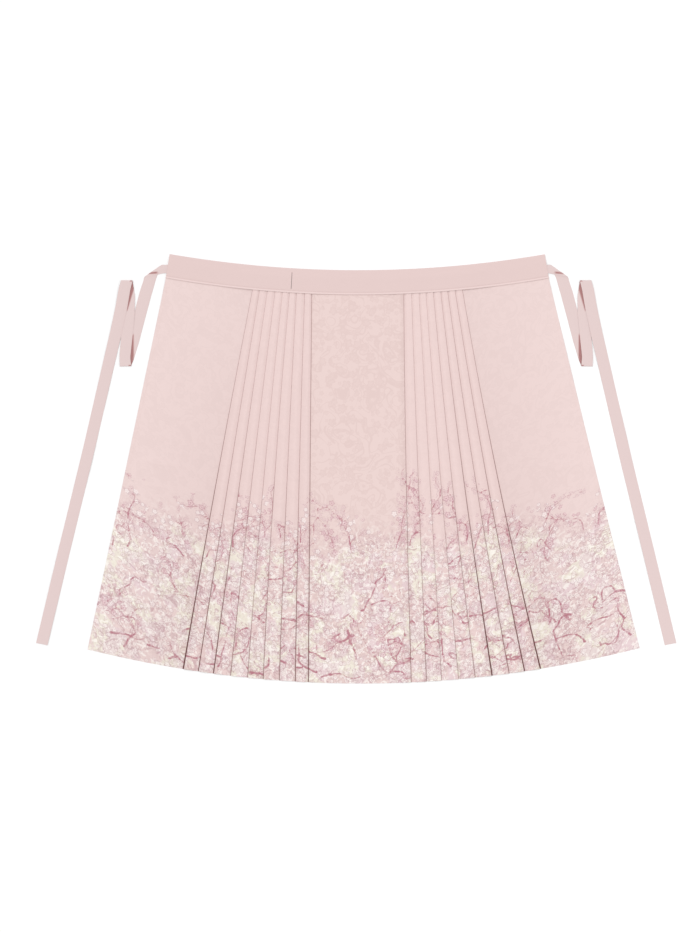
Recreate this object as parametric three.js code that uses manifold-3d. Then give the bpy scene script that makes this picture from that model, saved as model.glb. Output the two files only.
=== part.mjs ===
// A horse-face skirt (mamianqun), opened out and laid flat: nine sewn pieces, each a cloth wall of its own.
// X runs along the waistband, Y from the hem up to the waistband, Z up from the surface. Millimetres.
import * as THREE from 'three';
import { mergeVertices } from 'three/addons/utils/BufferGeometryUtils.js';
import Module from 'manifold-3d';

// Cloth: every wall is one layer thick, and layers lie on each other with a small gap
const WALL = 1.0;
const GAP = 0.3;
const LEVEL = WALL + GAP;
const CORNER_ROOM = 0.4;

// Outline: the waist seam and the hem are shallow arcs of one radius
const ARC_RADIUS = 2525;
const SEAM = { middleX: 4, lowestY: 399.6 };
const HEM = { middleX: 11, lowestY: -493.5 };
const LEFT_SIDE = { waist: -438, middle: -528, hem: -618 };
const RIGHT_SIDE = { waist: 443, middle: 547, hem: 652 };

// Waistband: a folded strip that clasps the skirt's top edge
const BAND_HEIGHT = 57;
const BAND_TOP_SCALE = 0.979;
const BAND_SHOULDER = 0.6;
const TOP_TUCK = 7;
const TIE_SLIT = { x: -150, y: 432, width: 1.6, height: 38, depth: 20 };

// Pleats: how far each one reaches under its neighbour, at the waist and at the hem
const UNDERLAP = { waist: 10, hem: 20 };
const UNDER_PANEL_JOIN = 12;
const PANEL_RISE = 12;

// Where the pressed folds run, from the front panel outwards: x at the waist, half-way down and at the hem
const LEFT_FOLDS = [
  { waist: -102, middle: -106, hem: -109 },
  { waist: -118, middle: -131, hem: -139 },
  { waist: -137, middle: -159, hem: -176 },
  { waist: -153, middle: -188, hem: -213 },
  { waist: -169, middle: -213, hem: -249 },
  { waist: -186, middle: -240, hem: -288 },
  { waist: -204, middle: -267, hem: -327 },
  { waist: -222, middle: -293, hem: -362 },
  { waist: -238, middle: -320, hem: -396 },
];
const RIGHT_FOLDS = [
  { waist: 109, middle: 115, hem: 126 },
  { waist: 127, middle: 143, hem: 161 },
  { waist: 144, middle: 170, hem: 196 },
  { waist: 160, middle: 195, hem: 235 },
  { waist: 177, middle: 221, hem: 273 },
  { waist: 194, middle: 248, hem: 311 },
  { waist: 210, middle: 275, hem: 351 },
  { waist: 227, middle: 301, hem: 386 },
  { waist: 244, middle: 326, hem: 422 },
];

// How many layers of cloth the waistband clasps along its length
const CLASPED = [
  { x: -438, layers: 1 },
  { x: -250, layers: 1 },
  { x: -242, layers: 3 },
  { x: -107, layers: 3 },
  { x: -100, layers: 2 },
  { x: 84, layers: 2 },
  { x: 95, layers: 3 },
  { x: 248, layers: 3 },
  { x: 257, layers: 1 },
  { x: 443, layers: 1 },
];

// The left tie's route, a row for each section: its centre, how many layers up it lies, the way its width
// points in degrees, and its width there. A row with foldTo turns back on itself, up or down to that layer.
const TIE_ROUTE = [
  { x: -424, y: 460, layer: 1, across: -100, width: 19 },
  { x: -435, y: 460, layer: 1, across: -101, width: 19 },
  { x: -446, y: 458.5, layer: 1, across: -116, width: 22 },
  { x: -468, y: 454.5, layer: 1, across: -145, width: 45, foldTo: 0 },
  { x: -474, y: 437.5, layer: 0, across: -171, width: 29 },
  { x: -485, y: 401, layer: 0, across: -190, width: 28 },
  { x: -499, y: 347, layer: 0, across: -195, width: 27 },
  { x: -512, y: 297, layer: 0, across: -194, width: 27 },
  { x: -526, y: 250, layer: 0, across: -184, width: 27 },
  { x: -530.5, y: 236, layer: 0, across: -178, width: 26, foldTo: 2.4 },
  { x: -532, y: 257, layer: 1.7, across: -184, width: 25 },
  { x: -528, y: 300, layer: 1, across: -180, width: 26 },
  { x: -522.5, y: 355, layer: 1, across: -180, width: 26.5 },
  { x: -522, y: 397, layer: 1, across: -180, width: 26.5 },
  { x: -527.5, y: 433, layer: 1, across: -181, width: 26.5, foldTo: 3.4 },
  { x: -533, y: 412, layer: 2.6, across: -184, width: 27 },
  { x: -540, y: 371, layer: 2, across: -192, width: 27 },
  { x: -552.5, y: 313, layer: 1.3, across: -192, width: 27 },
  { x: -573, y: 225, layer: 0, across: -191, width: 27 },
  { x: -620, y: 23, layer: 0, across: -191, width: 27 },
  { x: -671, y: -186, layer: 0, across: -191, width: 27 },
  { x: -723, y: -403, layer: 0, across: -191, width: 27 },
];
const TURN_STEPS = 4;

// Rows down the cloth, as shares of the way from the waist seam to the hem; above 0 it is inside the waistband
const ROWS = [-TOP_TUCK / (SEAM.lowestY - HEM.lowestY), 0, 0.06, 0.18, 0.3, 0.42, 0.54, 0.66, 0.78, 0.9, 1];
const LANDED = 0.06;
const PANEL_COLUMNS = 8;
const BAND_STEP = 45;

// Finishes
const PANEL_PINK = { color: '#ebd4d1', roughness: 0.6, metalness: 0 };
const PLEAT_PINK = { color: '#e9d1ce', roughness: 0.6, metalness: 0 };
const BAND_PINK = { color: '#e7cfcb', roughness: 0.65, metalness: 0 };
const TIE_PINK = { color: '#e4d1cf', roughness: 0.65, metalness: 0 };

// The outline's arcs
function arcY(arc, x) {
  return arc.lowestY + (x - arc.middleX) ** 2 / (2 * ARC_RADIUS);
}

// A fold or side line at share v of the way down: a smooth curve through its three table values
function lineX(line, v) {
  const atWaist = line.waist * (1 - v) * (1 - 2 * v);
  const atMiddle = line.middle * 4 * v * (1 - v);
  const atHem = line.hem * v * (2 * v - 1);
  return atWaist + atMiddle + atHem;
}

function underlap(v) {
  return THREE.MathUtils.lerp(UNDERLAP.waist, UNDERLAP.hem, Math.max(v, 0));
}

// The cloth passes over the waistband's back wall and then comes down to the surface
function lift(v) {
  return LEVEL * (1 - THREE.MathUtils.clamp(v / LANDED, 0, 1));
}

function onCloth(x, z, v) {
  const y = THREE.MathUtils.lerp(arcY(SEAM, x), arcY(HEM, x), v);
  return [x, y, z + lift(v)];
}

function layerCentre(layer) {
  return WALL / 2 + layer * LEVEL;
}

// Gives a path of x and layer its wall: a pair of points, over and under, for each point of the path
function thicken(path) {
  const points = path.map(([x, layer]) => new THREE.Vector2(x, layerCentre(layer)));
  return points.map((point, i) => {
    const before = point.clone().sub(points[Math.max(i - 1, 0)]);
    const after = points[Math.min(i + 1, points.length - 1)].clone().sub(point);
    const first = (i > 0 ? before : after).normalize();
    const second = (i < points.length - 1 ? after : before).normalize();
    const normal = new THREE.Vector2(-first.y - second.y, first.x + second.x).normalize();
    const reach = WALL / 2 / (normal.x * -first.y + normal.y * first.x);
    const over = point.clone().addScaledVector(normal, reach);
    const under = point.clone().addScaledVector(normal, -reach);
    return [over, under];
  });
}

// A closed wall from rows of point pairs: both faces, both side edges and both end edges
function wallGeometry(rows) {
  const positions = [];
  const index = [];
  const wide = rows[0].length;
  rows.forEach((row) => row.forEach((pair) => pair.forEach((point) => positions.push(...point))));
  const at = (row, column, side) => 2 * (row * wide + column) + side;
  const quad = (a, b, c, d) => index.push(a, b, c, a, c, d);
  const lastRow = rows.length - 1;
  for (let r = 0; r < lastRow; r++) {
    for (let c = 0; c < wide - 1; c++) {
      quad(at(r, c, 0), at(r + 1, c, 0), at(r + 1, c + 1, 0), at(r, c + 1, 0));
      quad(at(r, c, 1), at(r, c + 1, 1), at(r + 1, c + 1, 1), at(r + 1, c, 1));
    }
    quad(at(r, 0, 0), at(r, 0, 1), at(r + 1, 0, 1), at(r + 1, 0, 0));
    quad(at(r, wide - 1, 1), at(r, wide - 1, 0), at(r + 1, wide - 1, 0), at(r + 1, wide - 1, 1));
  }
  for (let c = 0; c < wide - 1; c++) {
    quad(at(0, c, 1), at(0, c, 0), at(0, c + 1, 0), at(0, c + 1, 1));
    quad(at(lastRow, c, 0), at(lastRow, c, 1), at(lastRow, c + 1, 1), at(lastRow, c + 1, 0));
  }
  const geometry = new THREE.BufferGeometry();
  geometry.setAttribute('position', new THREE.Float32BufferAttribute(positions, 3));
  geometry.setIndex(index);
  return volumeOf(geometry) > 0 ? geometry : turnedOut(geometry);
}

function volumeOf(geometry) {
  const index = geometry.index.array;
  const corner = (i) => new THREE.Vector3().fromBufferAttribute(geometry.attributes.position, index[i]);
  let volume = 0;
  for (let i = 0; i < index.length; i += 3) {
    volume += corner(i).dot(corner(i + 1).cross(corner(i + 2))) / 6;
  }
  return volume;
}

function turnedOut(geometry) {
  const index = geometry.index.array;
  for (let i = 0; i < index.length; i += 3) {
    [index[i + 1], index[i + 2]] = [index[i + 2], index[i + 1]];
  }
  return geometry;
}

// A piece of the skirt from a function that gives its path, of x and layer, at each row
function clothPiece(pathAt) {
  return wallGeometry(ROWS.map((v) => thicken(pathAt(v)).map((pair) => pair.map(({ x, y }) => onCloth(x, y, v)))));
}

// A flat stretch on one layer
function flatPath(from, to, layer) {
  return Array.from({ length: PANEL_COLUMNS + 1 }, (_, i) =>
    [THREE.MathUtils.lerp(from, to, i / PANEL_COLUMNS), layer]);
}

// Knife pleats from the front panel outwards: each face climbs from under the last fold to the top of its own,
// turns back there, runs in as the underlap and turns again. way is 1 to the right and -1 to the left.
function pleatPath(folds, way, start, v) {
  const under = underlap(v);
  const path = [[start, 0]];
  for (let i = 1; i < folds.length; i++) {
    const previous = lineX(folds[i - 1], v);
    const fold = lineX(folds[i], v);
    const inner = fold - way * under;
    path.push([previous + way * CORNER_ROOM, 0], [inner - way * CORNER_ROOM, 2]);
    path.push([fold - way * WALL / 2, 2], [fold - way * WALL / 2, 1]);
    if (i < folds.length - 1) {
      path.push([inner + way * WALL / 2, 1], [inner + way * WALL / 2, 0]);
    } else {
      path.push([inner, 1]);
    }
  }
  return path;
}

function innerFold(line, way, v) {
  return lineX(line, v) - way * underlap(v);
}

function frontPanel() {
  return clothPiece((v) => {
    const fold = lineX(RIGHT_FOLDS[0], v);
    const inner = innerFold(RIGHT_FOLDS[0], 1, v);
    const flat = flatPath(lineX(LEFT_FOLDS[0], v), inner - PANEL_RISE, 1);
    return [...flat, [inner - CORNER_ROOM, 2], [fold - WALL / 2, 2], [fold - WALL / 2, 1], [inner, 1]];
  });
}

function underPanel() {
  return clothPiece((v) => {
    const from = lineX(LEFT_FOLDS[0], v) + UNDER_PANEL_JOIN + GAP;
    return flatPath(from, innerFold(RIGHT_FOLDS[0], 1, v) - 3 * WALL, 0);
  });
}

function leftPleats() {
  return clothPiece((v) => pleatPath(LEFT_FOLDS, -1, lineX(LEFT_FOLDS[0], v) + UNDER_PANEL_JOIN, v));
}

function rightPleats() {
  return clothPiece((v) => pleatPath(RIGHT_FOLDS, 1, innerFold(RIGHT_FOLDS[0], 1, v), v));
}

function endPanel(folds, side, way) {
  return clothPiece((v) => flatPath(innerFold(folds.at(-1), way, v), lineX(side, v), 0));
}

// The waistband's stations along the seam, with the layers that it clasps at each
function bandStations() {
  const stations = [CLASPED[0]];
  for (let i = 1; i < CLASPED.length; i++) {
    const [last, next] = [CLASPED[i - 1], CLASPED[i]];
    const steps = Math.ceil((next.x - last.x) / BAND_STEP);
    for (let step = 1; step <= steps; step++) {
      stations.push({
        x: THREE.MathUtils.lerp(last.x, next.x, step / steps),
        layers: THREE.MathUtils.lerp(last.layers, next.layers, step / steps),
      });
    }
  }
  return stations;
}

// Its section: back wall on the surface, fold along the top edge, front wall stepped up over the clasped layers
function bandSection({ x, layers }) {
  const under = LEVEL * (layers + 1);
  const topX = BAND_TOP_SCALE * x;
  const topY = arcY(SEAM, topX) + BAND_HEIGHT;
  const point = (up, z) => {
    const share = up / BAND_HEIGHT;
    const px = THREE.MathUtils.lerp(x, topX, share);
    return [px, THREE.MathUtils.lerp(arcY(SEAM, x), topY, share), z];
  };
  const shoulder = BAND_SHOULDER * BAND_HEIGHT;
  return [
    [point(0, 0), point(0, WALL)],
    [point(BAND_HEIGHT, 0), point(BAND_HEIGHT - WALL, WALL)],
    [point(BAND_HEIGHT, LEVEL + WALL), point(BAND_HEIGHT - WALL, LEVEL)],
    [point(shoulder, under + WALL), point(shoulder, under)],
    [point(0, under + WALL), point(0, under)],
  ];
}

const wasm = await Module();
wasm.setup();

function toSolid(geometry) {
  const bare = geometry.clone();
  bare.deleteAttribute('normal');
  bare.deleteAttribute('uv');
  const merged = mergeVertices(bare);
  const vertProperties = Float32Array.from(merged.attributes.position.array);
  const triVerts = Uint32Array.from(merged.index.array);
  return new wasm.Manifold(new wasm.Mesh({ numProp: 3, vertProperties, triVerts }));
}

function fromSolid(solid) {
  const mesh = solid.getMesh();
  const geometry = new THREE.BufferGeometry();
  geometry.setAttribute('position', new THREE.Float32BufferAttribute(mesh.vertProperties, 3));
  geometry.setIndex(Array.from(mesh.triVerts));
  return geometry;
}

function waistband() {
  const strip = wallGeometry(bandStations().map(bandSection));
  const slit = new THREE.BoxGeometry(TIE_SLIT.width, TIE_SLIT.height, TIE_SLIT.depth);
  slit.translate(TIE_SLIT.x, TIE_SLIT.y, 0);
  return fromSolid(toSolid(strip).subtract(toSolid(slit)));
}

// Stations round one fold of the tie: half a turn about the line across it
function turnStations(row, before) {
  const across = THREE.MathUtils.degToRad(row.across);
  const travel = new THREE.Vector2(row.x - before.x, row.y - before.y);
  const onward = new THREE.Vector2(-Math.sin(across), Math.cos(across));
  onward.multiplyScalar(Math.sign(onward.dot(travel)));
  const [low, high] = [layerCentre(row.layer), layerCentre(row.foldTo)];
  const radius = Math.abs(high - low) / 2;
  return Array.from({ length: TURN_STEPS + 1 }, (_, i) => {
    const angle = Math.PI * (i / TURN_STEPS - 0.5);
    const ahead = radius * (Math.cos(angle) - 1);
    const z = (low + high) / 2 + (high - low) / 2 * Math.sin(angle);
    return { ...row, x: row.x + onward.x * ahead, y: row.y + onward.y * ahead, z };
  });
}

// A flat ribbon along the route. side is -1 for the left tie and 1 for its mirror image.
function tie(side) {
  const stations = TIE_ROUTE.flatMap((row, i) =>
    row.foldTo === undefined ? [{ ...row, z: layerCentre(row.layer) }] : turnStations(row, TIE_ROUTE[i - 1]));
  const centres = stations.map(({ x, y, z }) => new THREE.Vector3(-side * x, y, z));
  return wallGeometry(stations.map(({ across, width }, i) => {
    const angle = THREE.MathUtils.degToRad(across);
    const half = new THREE.Vector3(-side * Math.cos(angle), Math.sin(angle), 0).multiplyScalar(width / 2);
    const back = centres[i].clone().sub(centres[Math.max(i - 1, 0)]).normalize();
    const ahead = centres[Math.min(i + 1, centres.length - 1)].clone().sub(centres[i]).normalize();
    const normal = half.clone().cross(back.add(ahead)).normalize().multiplyScalar(WALL / 2);
    return [-1, 1].map((end) => [1, -1].map((face) =>
      centres[i].clone().addScaledVector(half, end).addScaledVector(normal, face).toArray()));
  }));
}

// Assembly
const skirt = new THREE.Group();

function add(name, geometry, finish) {
  const mesh = new THREE.Mesh(geometry, new THREE.MeshStandardMaterial({ ...finish, flatShading: true }));
  mesh.name = name;
  skirt.add(mesh);
}

add('waistband', waistband(), BAND_PINK);
add('left_end_panel', endPanel(LEFT_FOLDS, LEFT_SIDE, -1), PANEL_PINK);
add('left_pleats', leftPleats(), PLEAT_PINK);
add('under_panel', underPanel(), PANEL_PINK);
add('front_panel', frontPanel(), PANEL_PINK);
add('right_pleats', rightPleats(), PLEAT_PINK);
add('right_end_panel', endPanel(RIGHT_FOLDS, RIGHT_SIDE, 1), PANEL_PINK);
add('tie_left', tie(-1), TIE_PINK);
add('tie_right', tie(1), TIE_PINK);

// The origin is the middle of the skirt's box, on the surface that it lies on
const box = new THREE.Box3().setFromObject(skirt);
const middle = box.getCenter(new THREE.Vector3());
skirt.position.set(-middle.x, -middle.y, -box.min.z);
skirt.updateMatrixWorld(true);

export default skirt;
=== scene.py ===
# %% [markdown]
# # A horse-face skirt, laid open
#
# A horse-face skirt is a wrap skirt: a flat panel in the middle, knife pleats on both sides of it, flat
# panels at the two ends, and a waistband with a tie at each end. Here it lies open on a pale surface and
# the camera looks straight down on it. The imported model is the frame: every piece of cloth below is laid
# on its own solid, in the same place.

# %% Load the frame
import math

import bmesh
import bpy
import numpy as np
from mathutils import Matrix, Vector
from mathutils.kdtree import KDTree


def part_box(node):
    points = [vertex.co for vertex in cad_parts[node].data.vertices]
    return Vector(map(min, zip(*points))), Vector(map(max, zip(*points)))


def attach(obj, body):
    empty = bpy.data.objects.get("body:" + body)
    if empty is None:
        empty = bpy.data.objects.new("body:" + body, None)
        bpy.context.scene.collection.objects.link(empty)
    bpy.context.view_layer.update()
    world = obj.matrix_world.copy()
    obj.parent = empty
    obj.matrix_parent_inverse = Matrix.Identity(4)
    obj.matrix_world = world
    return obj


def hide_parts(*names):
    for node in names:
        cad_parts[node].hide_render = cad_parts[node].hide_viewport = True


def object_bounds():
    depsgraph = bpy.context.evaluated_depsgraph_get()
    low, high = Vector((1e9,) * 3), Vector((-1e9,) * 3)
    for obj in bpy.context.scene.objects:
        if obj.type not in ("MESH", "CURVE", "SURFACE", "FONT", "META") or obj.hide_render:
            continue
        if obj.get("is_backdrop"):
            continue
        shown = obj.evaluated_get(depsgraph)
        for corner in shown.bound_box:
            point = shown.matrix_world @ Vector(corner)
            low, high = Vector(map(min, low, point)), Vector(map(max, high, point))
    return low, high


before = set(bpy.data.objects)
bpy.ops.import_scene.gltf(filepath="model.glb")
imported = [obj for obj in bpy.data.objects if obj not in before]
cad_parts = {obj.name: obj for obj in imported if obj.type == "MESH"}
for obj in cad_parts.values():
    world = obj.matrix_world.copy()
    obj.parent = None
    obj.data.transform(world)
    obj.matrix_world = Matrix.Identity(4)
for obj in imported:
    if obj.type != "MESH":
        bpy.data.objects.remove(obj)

cad_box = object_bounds()
print("solids:", ", ".join(sorted(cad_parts)))

# %% [markdown]
# ## The sizes that everything is cut from
#
# The tables are the pattern cutter's notes, in millimetres: where each pressed fold runs at the waist,
# half-way down and at the hem, counted outwards from the middle panel. The last three columns say how a
# fold lies: how far its edge stands up at the hem, and how deep its shadow line is at the top and at the
# bottom. No two folds are alike, because a pressed pleat opens a little where it was handled.

# %% Cutter's sizes
MM = 0.001
LEVEL = 0.8
CLOTH = 0.5
LOWEST = 0.5
ARC_RADIUS = 2525
SEAM = (4, 399.6)
HEM = (11, -493.5)
LENGTH = SEAM[1] - HEM[1]
BAND_HEIGHT = 57
BAND_TOP_SCALE = 0.979
TOP_TUCK = 7
UNDERLAP = (10, 20)
UNDER_PANEL_JOIN = 12
LEFT_SIDE = (-438, -528, -618)
RIGHT_SIDE = (443, 547, 652)

FOLD_COLUMNS = ("waist", "middle", "hem", "rise", "line_top", "line_low")
LEFT_FOLDS = [dict(zip(FOLD_COLUMNS, row)) for row in (
    (-102, -106, -109, 0.9, 0.55, 0.82),
    (-118, -131, -139, 0.7, 0.25, 0.80),
    (-137, -159, -176, 0.9, 0.22, 0.70),
    (-153, -188, -213, 1.1, 0.12, 0.68),
    (-169, -213, -249, 0.8, 0.08, 0.62),
    (-186, -240, -288, 0.9, 0.12, 0.70),
    (-204, -267, -327, 1.4, 0.12, 0.92),
    (-222, -293, -362, 1.0, 0.22, 0.85),
    (-238, -320, -396, 2.2, 0.32, 1.08),
)]
RIGHT_FOLDS = [dict(zip(FOLD_COLUMNS, row)) for row in (
    (109, 115, 126, 0.8, 0.45, 0.62),
    (127, 143, 161, 0.8, 0.08, 0.60),
    (144, 170, 196, 0.6, 0.03, 0.46),
    (160, 195, 235, 0.8, 0.05, 0.52),
    (177, 221, 273, 1.0, 0.25, 0.60),
    (194, 248, 311, 2.2, 0.28, 1.05),
    (210, 275, 351, 1.6, 0.40, 0.72),
    (227, 301, 386, 1.1, 0.35, 0.95),
    (244, 326, 422, 1.5, 0.42, 1.08),
)]
print(len(LEFT_FOLDS) - 1, "pleats on the left and", len(RIGHT_FOLDS) - 1, "on the right")

# %% [markdown]
# ## From the pattern to the table
#
# The waist seam and the hem are shallow arcs of one radius. A point of the cloth is given by how far
# across it lies and by its share of the way down, so every piece uses the same few lines. The frame's
# origin is the middle of the whole skirt's box: the lowest point of the middle panel's hem shows how far
# the pattern has to be moved to meet it.

# %% Points on the cloth
def arc_y(arc, x):
    return arc[1] + (x - arc[0]) ** 2 / (2 * ARC_RADIUS)


def along(values, v):
    """A smooth curve through three values, at the waist, half-way and at the hem."""
    waist, middle, hem = values
    return waist * (1 - v) * (1 - 2 * v) + middle * 4 * v * (1 - v) + hem * v * (2 * v - 1)


def fold_x(fold, v):
    return along((fold["waist"], fold["middle"], fold["hem"]), v)


def underlap(v):
    return UNDERLAP[0] + (UNDERLAP[1] - UNDERLAP[0]) * np.maximum(v, 0)


SHIFT_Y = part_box("front_panel")[0][1] / MM - HEM[1]
PRINT_TOP = 0.43
UPPER_ROWS = 34
LOWER_ROWS = 200
rows = np.concatenate([
    [-TOP_TUCK / LENGTH],
    np.linspace(0, PRINT_TOP, UPPER_ROWS),
    np.linspace(PRINT_TOP, 1, LOWER_ROWS)[1:],
])
down = np.clip(rows, 0, 1)
print("pattern moved by", round(SHIFT_Y, 3), "mm, rows of cloth:", len(rows))

# %% [markdown]
# ## Soft creases
#
# Cloth that has been carried and laid down isn't quite flat. Each row of this table is one soft ridge:
# its two ends, its height and how wide it is. Every layer over a ridge rises with it, so layers never
# cross. Small puckers under the waistband come from the seam, which is a little shorter than the cloth.

# %% Ridges and puckers
RIDGE_COLUMNS = ("x1", "y1", "x2", "y2", "height", "width")
RIDGES = [dict(zip(RIDGE_COLUMNS, row)) for row in (
    (405, -7, 540, 12, 0.9, 9),
    (-520, 22, -400, 6, 0.7, 9),
    (330, 330, 420, 120, 0.8, 26),
    (470, 330, 500, 160, 0.9, 22),
    (-380, 350, -430, 190, 0.9, 24),
    (-300, 330, -380, 60, 0.6, 30),
    (-560, -150, -500, -330, 1.0, 24),
    (560, -160, 600, -360, 1.0, 26),
    (480, -200, 520, -420, 0.8, 22),
    (-470, -230, -480, -430, 0.8, 20),
    (-60, 340, -40, 60, 0.5, 26),
    (50, 300, 70, -40, 0.5, 30),
    (-20, -120, 20, -420, 0.6, 34),
)]
PUCKER_HEIGHT = 0.55
PUCKER_STEP = 31
PUCKER_REACH = 45


def ridge_height(ridge, x, y):
    start = np.array((ridge["x1"], ridge["y1"]))
    run = np.array((ridge["x2"], ridge["y2"])) - start
    share = np.clip(((x - start[0]) * run[0] + (y - start[1]) * run[1]) / (run @ run), 0, 1)
    away = np.hypot(x - start[0] - share * run[0], y - start[1] - share * run[1])
    taper = np.sin(math.pi * np.clip(share, 0.02, 0.98)) ** 0.5
    return ridge["height"] * taper * np.exp(-((away / ridge["width"]) ** 2))


def swell(x, y):
    below = np.maximum(arc_y(SEAM, x) - y, 0)
    wave = np.sin(x / PUCKER_STEP * 2 + 3 * np.sin(x / 170)) ** 2
    puckers = PUCKER_HEIGHT * wave * np.exp(-below / PUCKER_REACH) * np.clip(below / 6, 0, 1)
    return puckers + sum(ridge_height(ridge, x, y) for ridge in RIDGES)


print("highest ridge:", max(ridge["height"] for ridge in RIDGES), "mm")

# %% [markdown]
# ## A wall of cloth
#
# Cloth is a thin closed wall. A path across the skirt gives its middle; each point is moved half the
# cloth's thickness to both sides, square to the path, which gives an upper and a lower face. The rims are
# closed between them.

# %% Faces and rims
def both_faces(path_x, path_z, thickness):
    """Moves each row's path half a thickness to both sides. Arrays are rows by columns."""
    path = np.stack([path_x, path_z])
    run = np.diff(path, axis=2)
    side = np.stack([-run[1], run[0]]) / np.maximum(np.hypot(*run), 1e-9)
    first = np.concatenate([side[:, :, :1], side], axis=2)
    second = np.concatenate([side, side[:, :, -1:]], axis=2)
    mean = first + second
    mean /= np.maximum(np.hypot(*mean), 1e-9)
    reach = thickness / 2 / np.maximum((mean * first).sum(axis=0), 0.5)
    return path + mean * reach, path - mean * reach


def cells_to_quads(cells, columns, offset, flipped):
    r, c = np.nonzero(cells)
    first = r * columns + c
    corners = np.stack([first, first + 1, first + columns + 1, first + columns], 1)
    return (corners[:, ::-1] if flipped else corners) + offset


def rim_quads(cells, columns, offset):
    """Joins the two faces round the edge of the cells and round each opening in them."""
    quads = []
    padded = np.pad(cells, 1)
    for dr, dc, start, end in ((-1, 0, (0, 0), (0, 1)), (1, 0, (1, 1), (1, 0)),
                               (0, -1, (1, 0), (0, 0)), (0, 1, (0, 1), (1, 1))):
        open_side = cells & ~padded[1 + dr:1 + dr + cells.shape[0], 1 + dc:1 + dc + cells.shape[1]]
        r, c = np.nonzero(open_side)
        a = (r + start[0]) * columns + c + start[1]
        b = (r + end[0]) * columns + c + end[1]
        quads.append(np.stack([b, a, a + offset, b + offset], 1))
    return np.concatenate(quads)


print("a wall is two faces and a rim")

# %% [markdown]
# The same helper makes a mesh of every wall. It turns the faces outwards if their volume comes out
# negative, stores where each point lies on the flat cloth as a UV map, and keeps the numbers that the
# materials read, such as how deep the painted shade beside a fold is, as attributes on the points.

# %% Sew a piece
def sew(name, upper, lower, cells=None, flat=None, fields=None):
    """A closed mesh from two faces of rows by columns by three, in millimetres."""
    count_rows, columns = upper.shape[:2]
    cells = np.ones((count_rows - 1, columns - 1), bool) if cells is None else cells
    points = np.concatenate([upper.reshape(-1, 3), lower.reshape(-1, 3)]) * MM
    half = count_rows * columns
    quads = np.concatenate([
        cells_to_quads(cells, columns, 0, False),
        cells_to_quads(cells, columns, half, True),
        rim_quads(cells, columns, half),
    ])
    a, b, c, d = (points[quads[:, i]] for i in range(4))
    volume = (a * np.cross(b, c)).sum() + (a * np.cross(c, d)).sum()
    if volume < 0:
        quads = quads[:, ::-1]
    mesh = bpy.data.meshes.new(name)
    mesh.from_pydata(points.tolist(), [], quads.tolist())
    if flat is not None:
        layer = mesh.uv_layers.new(name="Cloth")
        both = np.concatenate([flat.reshape(-1, 2)] * 2)
        corner_points = np.empty(len(mesh.loops), int)
        mesh.loops.foreach_get("vertex_index", corner_points)
        layer.data.foreach_set("uv", (both[corner_points] * MM).ravel())
    for field, values in (fields or {}).items():
        layer = mesh.attributes.new(field, "FLOAT", "POINT")
        layer.data.foreach_set("value", np.concatenate([values.ravel()] * 2).astype(np.float32))
    mesh.polygons.foreach_set("use_smooth", np.ones(len(mesh.polygons), bool))
    mesh.set_sharp_from_angle(angle=math.radians(50))
    piece = bpy.data.objects.new(name, mesh)
    bpy.context.scene.collection.objects.link(piece)
    loose = bmesh.new()
    loose.from_mesh(mesh)
    bmesh.ops.delete(loose, geom=[p for p in loose.verts if not p.link_faces], context="VERTS")
    loose.to_mesh(mesh)
    loose.free()
    print(f"{name}: {len(mesh.polygons)} faces, {abs(volume) / 6 * 1e6:.1f} cubic centimetres, "
          f"lowest {points[:, 2].min() / MM:.2f} mm")
    return piece


print("pieces are sewn from rows and columns")

# %% [markdown]
# ## The printed border, as a branch that grows
#
# A border of plum branches and blossom runs round the hem. The layout is this script's own: trunks start
# all through the border and wander, side shoots leave them, sprays climb out of its top, and
# blossom opens round their buds. Each point of the cloth is told how far it is from the nearest branch
# and bud, and the material draws the edges from those numbers. The print lies on the flat cloth, so the
# pleats fold it away in strips, as they do on the real skirt.

# %% Grow the branches
BRANCH_STEP = 2.5
BORDER = 470
REACH_ACROSS = 1180
LOWEST_WOOD = 8
# One value for each order: trunk, twig, side shoot and its own shoots.
SHOOT_CHANCE = (0.035, 0.12, 0.05)
KINK_CHANCE = (0.14, 0.03, 0.10, 0.10)
BUD_CHANCE = (0.014, 0.10, 0, 0)
BUDDING_SHARE = 0.8
growth = np.random.default_rng(41)
wood, buds = [], []


def grow(u, h, heading, width, length, order):
    """Walks one branch from u along the cloth and h above the hem, and lets side shoots leave it."""
    bend = 0.0
    steps = int(length / BRANCH_STEP)
    for i in range(steps):
        bend = 0.8 * bend + growth.normal(0, 0.035)
        heading += bend + (growth.normal(0, 0.7) if growth.random() < KINK_CHANCE[order] else 0)
        u += BRANCH_STEP * math.cos(heading)
        h += BRANCH_STEP * math.sin(heading)
        if h < LOWEST_WOOD:
            heading, bend, h = abs(math.remainder(heading, 2 * math.pi)), 0.0, LOWEST_WOOD
        thick = width * (1 - 0.6 * i / steps) * growth.uniform(0.7, 1.4)
        wood.append((u, h, thick))
        if growth.random() < BUD_CHANCE[order] and (order == 0 or i < BUDDING_SHARE * steps):
            buds.append((u, h))
        if order < 3 and i > 4 and growth.random() < SHOOT_CHANCE[order]:
            lean = growth.choice((-1, 1)) * growth.uniform(0.4, 1.1)
            shoot = length * growth.uniform(0.12, 0.36)
            grow(u, h, heading + lean, max(thick * 0.65, 0.9), shoot, order + 1)


# Trunks lean to either side all through the border, and are thinner the higher they start.
for start in np.arange(-REACH_ACROSS, REACH_ACROSS, 29):
    heading = math.pi / 2 + growth.choice((-1, 1)) * growth.uniform(0.4, 1.3)
    foot = growth.uniform(12, 290)
    grow(start + growth.uniform(-20, 20), foot, heading, growth.uniform(1.4, 2.5) - foot / 400,
         growth.uniform(70, 190), 0)
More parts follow.
